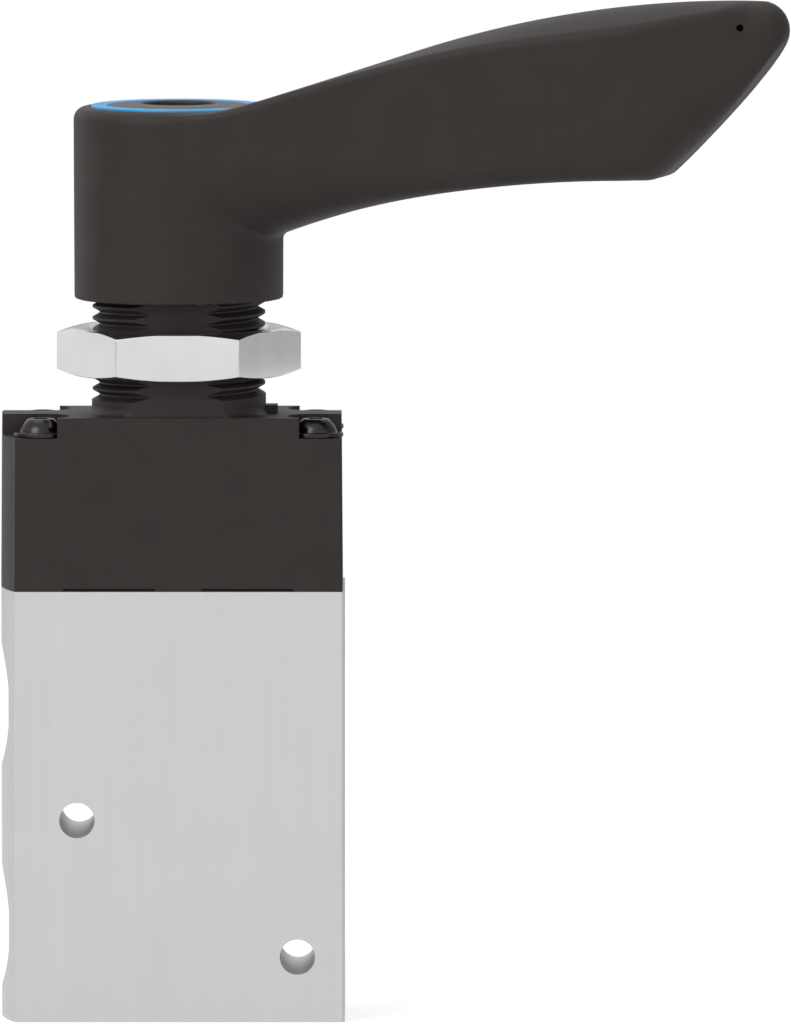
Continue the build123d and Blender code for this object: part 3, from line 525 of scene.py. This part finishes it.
def armField(u, v, z):
    # the arm alone: its faces with wide rounds below and tighter ones on top and at the end
    k = lever
    grip = k["reach"] - k["bowBack"]
    share = 1 - u / grip
    wide = k["halfWidth"] + (k["hubRadius"] - k["rootInset"] - k["halfWidth"]) * share
    wide = wide - k["backTaper"] * np.maximum(-u, 0) ** 2     # narrower behind the axis
    rise = k["rootCrown"] + (k["crown"] - k["rootCrown"]) * smoothStep(
        (u - k["crownFrom"]) / (grip - k["crownFrom"]))
    crest = armTop(u)
    slope = (armTop(u + 0.1) - armTop(u - 0.1)) / 0.2
    tilt = np.sqrt(1 + slope**2 + (2 * rise * v / wide**2) ** 2)
    top = (z - crest + rise * (v / wide) ** 2) / tilt
    belly, steep = armUnderside(u)
    under = (belly - z) * np.cos(steep)
    lower = roundMax(under, armEnd(u, z), k["endCorner"])
    sides = armSides(u, v, wide, crest - rise - z)
    endEdge = k["endTipEdge"] + k["endEdge"] * smoothStep((k["reach"] - u) / 12)
    edge = (k["bottomEdge"] + (k["rootEdge"] - k["bottomEdge"]) * smoothStep((42 - u) / 34)
            + (endEdge - k["bottomEdge"]) * smoothStep((u - grip + 4) / 8))
    rim = k["topEdge"] + (k["tipEdge"] - k["topEdge"]) * smoothStep((u - k["reach"] + 9) / 5)
    body = roundMax(roundMax(lower, sides, edge), top, rim)
    return np.maximum(body, -u - k["backEnd"])


def slopeOf(field, p, step=0.02):
    # gradient of a field at points (3, n), by differences
    out = []
    for axis in range(3):
        shift = np.zeros((3,) + (1,) * (p.ndim - 1))
        shift[axis] = step
        out.append((field(*(p + shift)) - field(*(p - shift))) / (2 * step))
    return np.stack(out)


def leverField(p):
    # arm and hub together; the fillet shrinks where they run alongside each other, as a ball
    # rolled between them would leave it
    k = lever
    c, s = math.cos(restAngle), math.sin(restAngle)
    hub, arm = hubField(*p), armField(p[0] * c - p[1] * s, p[0] * s + p[1] * c, p[2])
    hubSlope = slopeOf(hubField, p)
    armSlope = slopeOf(lambda x, y, z: armField(x * c - y * s, x * s + y * c, z), p)
    alike = (hubSlope * armSlope).sum(0) / np.maximum(
        np.linalg.norm(hubSlope, axis=0) * np.linalg.norm(armSlope, axis=0), 1e-6)
    down = -armSlope[2] / np.maximum(np.linalg.norm(armSlope, axis=0), 1e-6)
    ball = k["sideFillet"] + (k["bellyFillet"] - k["sideFillet"]) * smoothStep(down / 0.7)
    along = p[0] * c - p[1] * s
    ball = ball * smoothStep((k["hubTop"] - p[2]) / 4) * smoothStep(along / 4)
    return roundMin(hub, arm, ball * np.clip(1 - alike, 0, 1) + 1e-6)


def latticeSkin(field, low, high, cell):
    # one point in each lattice cell that the surface crosses, at the mean of its crossings,
    # and one quad round each lattice edge that it crosses
    axes = [np.arange(a, b + cell, cell) for a, b in zip(low, high)]
    value = field(np.stack(np.meshgrid(*axes, indexing="ij")))
    inside = value < 0
    shape = np.array(value.shape)
    cells = tuple(shape - 1)
    total = np.zeros(cells + (3,))
    count = np.zeros(cells)
    crossed = []
    for axis in range(3):
        ahead = [slice(None)] * 3
        behind = [slice(None)] * 3
        ahead[axis], behind[axis] = slice(1, None), slice(None, -1)
        v0, v1 = value[tuple(behind)], value[tuple(ahead)]
        cross = (v0 < 0) != (v1 < 0)
        share = np.where(cross, v0 / np.where(cross, v0 - v1, 1), 0)
        where = np.stack(np.indices(cross.shape), -1).astype(float)
        where[..., axis] += share
        others = [a for a in range(3) if a != axis]
        for da in (0, 1):
            for db in (0, 1):
                cut = [slice(None)] * 3
                cut[others[0]] = slice(da, cells[others[0]] + da)
                cut[others[1]] = slice(db, cells[others[1]] + db)
                hit = cross[tuple(cut)]
                total += where[tuple(cut)] * hit[..., None]
                count += hit
        crossed.append((cross, inside[tuple(behind)], others))
    used = count > 0
    number = np.full(cells, -1)
    number[used] = np.arange(used.sum())
    origin = np.array([a[0] for a in axes])
    points = total[used] / count[used][:, None] * cell + origin
    faces = []
    for axis, (cross, startsInside, others) in enumerate(crossed):
        spot = np.argwhere(cross)
        flip = startsInside[cross] ^ (axis == 1)
        ring = []
        for da, db in ((0, 0), (1, 0), (1, 1), (0, 1)):
            at = spot.copy()
            at[:, others[0]] -= da
            at[:, others[1]] -= db
            ring.append(number[tuple(at.T)])
        quad = np.stack(ring, -1)
        faces.append(np.where(flip[:, None], quad, quad[:, ::-1]))
    return points, np.concatenate(faces)


def settle(field, points, faces, rounds=3):
    # evens out the lattice's points and puts them back on the surface each time
    for _ in range(rounds):
        total = np.zeros_like(points)
        count = np.zeros(len(points))
        for a, b in ((0, 1), (1, 2), (2, 3), (3, 0)):
            np.add.at(total, faces[:, a], points[faces[:, b]])
            np.add.at(count, faces[:, a], 1)
        points = points + 0.5 * (total / count[:, None] - points)
        for _ in range(2):
            p = points.T
            slope = slopeOf(lambda *q: field(np.stack(q)), p, 0.03)
            points = points - (field(p) * slope / (slope**2).sum(0)).T
    return points


def leverHandle():
    k = lever
    margin = 1.5
    points, faces = latticeSkin(leverField, leverLow - margin, leverHigh + margin, k["cell"])
    points = settle(leverField, points, faces)
    piece = newPiece("lever_moulding", points, faces, 40)
    print("lever skin:", len(points), "points")
    # seats: over the neck, for the insert, for the screw head, and for the blue ring
    insertLow, insertHigh = nodeBox("hub_insert")
    neckRadius, screwRadius = k["neckRadius"], k["screwRadius"]
    ringRadius = ringHigh[0] + k["ringGap"]
    cavity = lathe("cavity", [
        (0, k["hubFoot"] - 5, 0), (neckRadius, k["hubFoot"] - 5, 0), (neckRadius, insertLow[2], 0),
        (0, insertLow[2], 0)], 128)
    combine(piece, cavity, "DIFFERENCE")
    combine(piece, hexPrism("seat", insertHigh[1] - insertLow[1], insertLow[2] - 0.01, insertHigh[2]),
            "DIFFERENCE")
    combine(piece, lathe("way", [
        (0, insertHigh[2] - 0.01, 0), (screwRadius, insertHigh[2] - 0.01, 0),
        (screwRadius, ringLow[2], 0), (ringRadius, ringLow[2], 0),
        (ringRadius, k["top"] + 5, 0), (0, k["top"] + 5, 0)], 160), "DIFFERENCE")
    # small round hole in the front of the bow, along v
    turn = np.arange(32) / 32 * 2 * np.pi
    u = k["reach"] - k["dimpleBack"] + k["dimpleRadius"] * np.cos(turn)
    z = k["top"] - k["dimpleDrop"] + k["dimpleRadius"] * np.sin(turn)
    ends = [np.stack([u * math.cos(restAngle) + v * math.sin(restAngle),
                      v * math.cos(restAngle) - u * math.sin(restAngle), z], -1)
            for v in (-k["halfWidth"], -k["dimpleFloor"])]
    faces = gridFaces(2, 32).tolist() + [list(range(31, -1, -1)), list(range(32, 64))]
    combine(piece, newPiece("dimple", np.concatenate(ends), faces), "DIFFERENCE")
    return piece


handle = leverHandle()
dressPiece(handle, finishes["lever"])
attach(handle, "lever")
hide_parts("lever_handle")
print("lever done")

# Block: the extrusion with its bored holes, its edges broken, and threads cut in the ports
edges = {"block": 0.15, "housing": 0.2}
ports = {
    "pitch": 0.907, "major": 4.864, "core": 4.283, "turns": 8.0,
    "mouth": 0.3,          # the groove starts this far outside the block's face
    "clear": 0.08,         # and this far inside the core, so that it cuts right through
    "right": (25.8,), "left": (11.6, 40.0), "rightFace": 20.95, "leftFace": 21.65,
}

block = copyOfNode("valve_body", "valve_block")
breakEdges(block, edges["block"])


def portThread(side, face, height):
    # the thread's groove along X, from outside the mouth inwards
    k = ports
    groove = threadGroove("port_thread", k["core"] - k["clear"], k["major"], k["pitch"],
                          0, k["turns"], 0, 48)
    p = meshPoints(groove.data)
    along = np.column_stack([side * (face + k["mouth"] - p[:, 2]), side * p[:, 0], p[:, 1] + height])
    groove.data.vertices.foreach_set("co", (along * mm).ravel())
    setNormals(groove.data, 30)
    return groove


for height in ports["left"]:
    combine(block, portThread(-1, ports["leftFace"], height), "DIFFERENCE")
for height in ports["right"]:
    combine(block, portThread(1, ports["rightFace"], height), "DIFFERENCE")
evenShading(block)
dressPiece(block, finishes["aluminium"])
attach(block, "valve")
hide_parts("valve_body")
print("block done:", len(block.data.polygons), "faces")


# Housing: moulded in one with the neck, whose thread is cut off by two flats
shoulder = {"cadHeight": 76.6, "height": 77.1}    # faces beside the notches for the screws
housingSide = {"from": 20.0, "inset": 0.27, "over": 0.4}    # right side, a little inside the block's
neckFoot = {"radius": 11.1, "fillet": 1.0, "flat": 9.48, "sunk": 0.3, "wall": 0.6}
neck = {
    "crest": 11.0, "root": 10.12, "pitch": 1.5, "grooveHeight": 80.19,
    "firstTurn": -0.58, "turns": 10.8,
    "clear": 0.16,         # the groove starts this far outside the crest
}


def trueHousing(piece):
    # the faces beside the notches go up to the level of the top, and the right side goes in
    points = meshPoints(piece.data)
    points[np.abs(points[:, 2] - shoulder["cadHeight"]) < 0.01, 2] = shoulder["height"]
    share = np.clip((points[:, 0] - housingSide["from"]) / housingSide["over"], 0, 1)
    points[:, 0] -= housingSide["inset"] * share
    piece.data.vertices.foreach_set("co", (points * mm).ravel())
    edit = bmesh.new()
    edit.from_mesh(piece.data)
    bmesh.ops.remove_doubles(edit, verts=edit.verts, dist=0.0005 * mm)
    bmesh.ops.dissolve_degenerate(edit, edges=edit.edges, dist=0.0005 * mm)
    bmesh.ops.dissolve_limit(edit, angle_limit=math.radians(0.3), verts=edit.verts, edges=edit.edges)
    edit.to_mesh(piece.data)
    edit.free()


def filletRing():
    # hollow fillet round the neck's foot, cut off at the neck's two flats
    k, foot = neckFoot, shoulder["height"]
    turn = np.linspace(0, np.pi / 2, 7)
    hollow = [(k["radius"] + k["fillet"] * (1 - math.sin(a)), foot + k["fillet"] * (1 - math.cos(a)), 0)
              for a in turn]
    inner, low = k["radius"] - k["wall"], foot - k["sunk"]
    ring = lathe("foot", [(inner, low, 0), (k["radius"] + k["fillet"], low, 0)] + hollow
                 + [(inner, foot + k["fillet"], 0)], 128)
    points = meshPoints(ring.data)
    points[:, 1] = np.clip(points[:, 1], -k["flat"], k["flat"])
    ring.data.vertices.foreach_set("co", (points * mm).ravel())
    setNormals(ring.data, 30)
    return ring


housing = copyOfNode("control_housing", "housing_moulding")
trueHousing(housing)
breakEdges(housing, edges["housing"])
combine(housing, filletRing(), "UNION")
combine(housing, threadGroove("neck_thread", neck["crest"] + neck["clear"], neck["root"], neck["pitch"],
                              neck["firstTurn"], neck["turns"], neck["grooveHeight"]), "DIFFERENCE")
evenShading(housing)
dressPiece(housing, finishes["housing"])
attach(housing, "valve")
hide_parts("control_housing")
print("housing done:", len(housing.data.polygons), "faces")

# Panel nut: at each angle its outside is the hexagon's radius, with rounded corners, and
# flat cones take the corners off above and below
nutLow, nutHigh = nodeBox("panel_nut")
nut = {
    "stepsPerFlat": 48, "cornerRound": 0.3, "edgeRound": 0.14, "faceInset": 0.1,
    "cone": 16.5,          # degrees
    "mouth": 0.8, "mouthWidth": 0.5, "boreGap": 0.05,      # bevel of the bore
}


def panelNut():
    k = nut
    half = nutHigh[1]
    step = np.arange(-k["stepsPerFlat"] / 2, k["stepsPerFlat"] / 2) / (k["stepsPerFlat"] / 2)
    offset = np.pi / 6 * (0.12 * step + 0.88 * step**3)     # closer together at the corners
    turn = (np.arange(6)[:, None] * np.pi / 3 + offset).ravel()
    fromCorner = np.tile(np.abs(offset), 6)
    flat = half / np.cos(np.pi / 6 - fromCorner)
    centre = (half - k["cornerRound"]) / math.cos(math.pi / 6)
    inArc = centre * np.sin(fromCorner) < k["cornerRound"] * 0.5
    arc = centre * np.cos(fromCorner) + np.sqrt(
        np.maximum(k["cornerRound"] ** 2 - (centre * np.sin(fromCorner)) ** 2, 0))
    radius = np.where(inArc, np.minimum(arc, flat), flat)
    face = half - k["faceInset"]
    drop = (radius - face) * math.tan(math.radians(k["cone"]))
    low, high = nutLow[2], nutHigh[2]
    bore = (neck["crest"] + k["boreGap"]) * np.ones_like(radius)
    mouth, face = bore + k["mouthWidth"], face * np.ones_like(radius)
    return lathe("hex_nut", [
        (bore, low + k["mouth"], 0.05), (mouth, low, 0.1), (face, low, 0.3),
        (radius, low + drop, k["edgeRound"]), (radius, high - drop, k["edgeRound"]),
        (face, high, 0.3), (mouth, high, 0.1), (bore, high - k["mouth"], 0.05),
    ], turn=turn)


hexNut = panelNut()
dressPiece(hexNut, finishes["zinc"])
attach(hexNut, "valve")
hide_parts("panel_nut")
print("nut done")

# Housing screws: flange, domed head with a hexagon socket, and a shank that is left plain
# because the block hides it
screwLow, screwHigh = nodeBox("housing_screws")
screw = {
    "x": 17.46, "y": 6.2, "flange": 3.5, "flangeHeight": 0.6, "head": 2.76, "crown": 1.6,
    "socket": 2.0, "socketDepth": 1.2, "shank": 1.45, "shankBevel": 0.4, "headHeight": 2.3,
}


def buttonScrew(x, y):
    k = screw
    foot = screwHigh[2] - k["headHeight"]
    # dome: part of a sphere that passes through the foot of the head and its flat crown
    height = k["headHeight"] - k["flangeHeight"]
    sunk = (k["head"] ** 2 - k["crown"] ** 2 - height**2) / (2 * height)
    level = np.linspace(0, height, 11)[1:-1]
    width = np.sqrt(k["head"] ** 2 + sunk**2 - (level + sunk) ** 2)
    end, bevel, brim = screwLow[2], k["shankBevel"], foot + k["flangeHeight"]
    profile = [(0, end, 0), (k["shank"] - bevel, end, 0.05), (k["shank"], end + bevel, 0.05),
               (k["shank"], foot, 0), (k["flange"], foot, 0.12), (k["flange"], brim, 0.18),
               (k["head"], brim, 0.1)]
    profile += [(w, brim + h, 0) for w, h in zip(width, level)]
    profile += [(k["crown"], screwHigh[2], 0.1), (0, screwHigh[2], 0)]
    piece = lathe("screw", profile, 72, 34, (x, y))
    combine(piece, hexPrism("socket", k["socket"], screwHigh[2] - k["socketDepth"],
                            screwHigh[2] + 1, (x, y)), "DIFFERENCE")
    return piece


screws = [buttonScrew(sx * screw["x"], sy * screw["y"]) for sx in (-1, 1) for sy in (-1, 1)]
for k, piece in enumerate(screws):
    piece.name = f"housing_screw_{k + 1}"
    dressPiece(piece, finishes["blackOxide"])
    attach(piece, "valve")
    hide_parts("housing_screws")
print("screws done")

# Blue ring and cap on the hub, both moulded with soft edges
capLow, capHigh = nodeBox("hub_cap")
hubTrim = {
    "ringWidth": 2.1, "ringSunk": 0.2,
    "capHole": 4.75, "capHoleRound": 0.25,
    "capRise": 0.27,       # the cap is a flat cone, highest at its hole
}
ringTop = ringHigh[2] - hubTrim["ringSunk"]
ringInner = ringHigh[0] - hubTrim["ringWidth"]
blueRing = lathe("blue_ring", [
    (ringInner, ringLow[2], 0.1), (ringHigh[0], ringLow[2], 0.1),
    (ringHigh[0], ringTop, 0.3), (ringInner, ringTop, 0.25)], 192)
dressPiece(blueRing, finishes["ring"])
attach(blueRing, "lever")
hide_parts("indicator_ring")

capHole = hubTrim["capHole"]
hubCap = lathe("cap_disc", [
    (capHole, capLow[2], 0.1), (capHigh[0], capLow[2], 0.1), (capHigh[0], capHigh[2], 0.25),
    (capHole + hubTrim["capHoleRound"], capHigh[2] + hubTrim["capRise"], 0.1),
    (capHole, capHigh[2], 0.1)], 160)
dressPiece(hubCap, finishes["cap"])
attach(hubCap, "lever")
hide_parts("hub_cap")

capScrewLow, capScrewHigh = nodeBox("lever_screw")
capScrew = {"headHeight": 5.0, "shank": 2.5, "shankBevel": 0.4, "socket": 4.0, "socketDepth": 2.6}


def socketScrew():
    k = capScrew
    end, top, head = capScrewLow[2], capScrewHigh[2], capScrewHigh[0]
    foot = top - k["headHeight"]
    piece = lathe("socket_screw", [
        (0, end, 0), (k["shank"] - k["shankBevel"], end, 0.05), (k["shank"], end + k["shankBevel"], 0.05),
        (k["shank"], foot, 0), (head, foot, 0.1), (head, top, 0.35), (0, top, 0)], 96)
    combine(piece, hexPrism("socket", k["socket"], top - k["socketDepth"], top + 1), "DIFFERENCE")
    return piece


leverScrew = socketScrew()
dressPiece(leverScrew, finishes["blackOxide"])
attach(leverScrew, "lever")
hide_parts("lever_screw")
print("ring, cap and lever screw done")

# What stays inside keeps its CAD shape and gets its finish
inside = {
    "acetal": ("lower_cage", "middle_cage", "upper_cage", "stack_retainer", "tappet", "thrust_washer"),
    "rubber": ("lower_seal", "upper_seal", "top_seal", "retainer_oring", "spindle_oring"),
    "steel": ("retaining_ring", "spring_seat", "return_spring", "cam_spindle", "screw_washer", "spool"),
    "bronze": ("lower_bush", "upper_bush", "hub_insert"),
}
for finish, nodes in inside.items():
    for node in nodes:
        dressPiece(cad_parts[node], finishes[finish])

# Stage: pale floor that shows white to the camera and to reflections but keeps the shadow
stage = {"radius": 600.0, "floor": "#C8C8C8", "glow": 0.6, "mirrorGlow": 0.35}


def studioFloor():
    turn = np.arange(96) / 96 * 2 * np.pi
    ring = np.stack([stage["radius"] * np.cos(turn), stage["radius"] * np.sin(turn), 0 * turn - 0.02], -1)
    floor = newPiece("floor", ring, [list(range(96))])
    material, tree, body, place = newMaterial("paleCard", Roughness=0.9)
    body.inputs["Base Color"].default_value = linear(stage["floor"])
    path = addNode(tree, "ShaderNodeLightPath")
    mirrored = addNode(tree, "ShaderNodeMath", {
        0: path.outputs["Is Glossy Ray"], 1: path.outputs["Is Transmission Ray"]}, operation="MAXIMUM")
    faint = addNode(tree, "ShaderNodeMath", {
        0: mirrored.outputs[0], 1: stage["mirrorGlow"]}, operation="MULTIPLY")
    glow = addNode(tree, "ShaderNodeMath", {
        0: path.outputs["Is Camera Ray"], 1: stage["glow"], 2: faint.outputs[0]},
        operation="MULTIPLY_ADD").outputs[0]
    tree.links.new(glow, body.inputs["Emission Strength"])
    body.inputs["Emission Color"].default_value = (1, 1, 1, 1)
    dressPiece(floor, material)


studioFloor()

light = {
    "ambient": 0.55, "mirrorLeft": 0.9, "mirrorRight": 0.48, "mirrorBack": 0.3,
    "flag": 0.3,           # share left in a dark strip on the far left, which draws the nut's corners
    "backTilt": 0.6,       # how fast the dark at the back goes down as it rises
}


def studioWorld():
    # white to the camera; reflections see a room that is darker on the right and, low down, at
    # the back
    world = bpy.data.worlds.new("studio")
    scene.world = world
    world.use_nodes = True
    tree = world.node_tree
    tree.nodes.clear()
    path = addNode(tree, "ShaderNodeLightPath")
    way = addNode(tree, "ShaderNodeTexCoord").outputs["Generated"]
    sides = addNode(tree, "ShaderNodeSeparateXYZ", {"Vector": way}).outputs
    across = addNode(tree, "ShaderNodeMapRange", {
        "Value": sides["X"], "From Min": 0.1, "From Max": 0.8,
        "To Min": light["mirrorLeft"], "To Max": light["mirrorRight"]}, interpolation_type="SMOOTHSTEP")
    low = addNode(tree, "ShaderNodeMath", {
        0: sides["Z"], 1: -light["backTilt"], 2: sides["Y"]}, operation="MULTIPLY_ADD").outputs[0]
    behind = addNode(tree, "ShaderNodeMapRange", {
        "Value": low, "From Min": 0.82, "From Max": 0.98,
        "To Min": 1.0, "To Max": light["mirrorBack"]}, interpolation_type="SMOOTHSTEP")
    strip = addNode(tree, "ShaderNodeMapRange", {
        "Value": sides["X"], "From Min": -0.97, "From Max": -0.93,
        "To Min": light["flag"], "To Max": 1.0}, interpolation_type="SMOOTHSTEP")
    room = addNode(tree, "ShaderNodeMath", {
        0: across.outputs["Result"], 1: behind.outputs["Result"]}, operation="MULTIPLY")
    room = addNode(tree, "ShaderNodeMath", {
        0: room.outputs[0], 1: strip.outputs["Result"]}, operation="MULTIPLY")
    inMirror = addNode(tree, "ShaderNodeMath", {
        0: path.outputs["Is Glossy Ray"], 1: path.outputs["Is Transmission Ray"]},
        operation="MAXIMUM").outputs[0]
    plain = addNode(tree, "ShaderNodeMix", {"A": light["ambient"]}, data_type="FLOAT")
    tree.links.new(inMirror, plain.inputs["Factor"])
    tree.links.new(room.outputs[0], plain.inputs["B"])
    shown = addNode(tree, "ShaderNodeMix", {"B": 1.0}, data_type="FLOAT")
    tree.links.new(path.outputs["Is Camera Ray"], shown.inputs["Factor"])
    tree.links.new(plain.outputs["Result"], shown.inputs["A"])
    back = addNode(tree, "ShaderNodeBackground", {
        "Color": (1, 1, 1, 1), "Strength": shown.outputs["Result"]})
    addNode(tree, "ShaderNodeOutputWorld", {"Surface": back.outputs["Background"]})


studioWorld()


def softBox(name, place, aim, size, power):
    lamp = bpy.data.lights.new(name, "AREA")
    lamp.shape = "RECTANGLE"
    lamp.size, lamp.size_y = size[0] * mm, size[1] * mm
    lamp.energy = power
    box = bpy.data.objects.new(name, lamp)
    scene.collection.objects.link(box)
    box.location = np.array(place) * mm
    away = Vector(np.array(place, float) - aim)
    box.rotation_euler = away.to_track_quat("Z", "Y").to_euler()


# Camera far away, as the photograph's long lens, looking along Y and a little down
view = {
    "distance": 2385.0, "pitch": 5.1, "aim": (27.6, 0.0, 64.3), "lens": 657.4, "sensor": 36.0,
    "clipEnd": 20,         # metres
}
camera = bpy.data.cameras.new("camera")
camera.sensor_fit = "VERTICAL"
camera.sensor_height = view["sensor"]
camera.lens = view["lens"]
camera.clip_end = view["clipEnd"]
eye = bpy.data.objects.new("camera", camera)
scene.collection.objects.link(eye)
tilt = math.radians(view["pitch"])
back = np.array([0, -math.cos(tilt), math.sin(tilt)])
eye.location = (np.array(view["aim"]) + view["distance"] * back) * mm
eye.rotation_euler = (math.pi / 2 - tilt, 0, 0)
scene.camera = eye

# each soft box: where it hangs, its size and its power in watts; all aim at the hub's foot
softBoxes = {
    "key": ((-900, -1100, 1100), (900, 900), 9),
    "fill": ((1200, -1300, 500), (900, 900), 2),
    "top": ((0, 300, 1300), (1200, 900), 2.9),
}
for name, (place, size, power) in softBoxes.items():
    softBox(name, place, (0, 0, 80), size, power)
print("stage, lights and camera set")
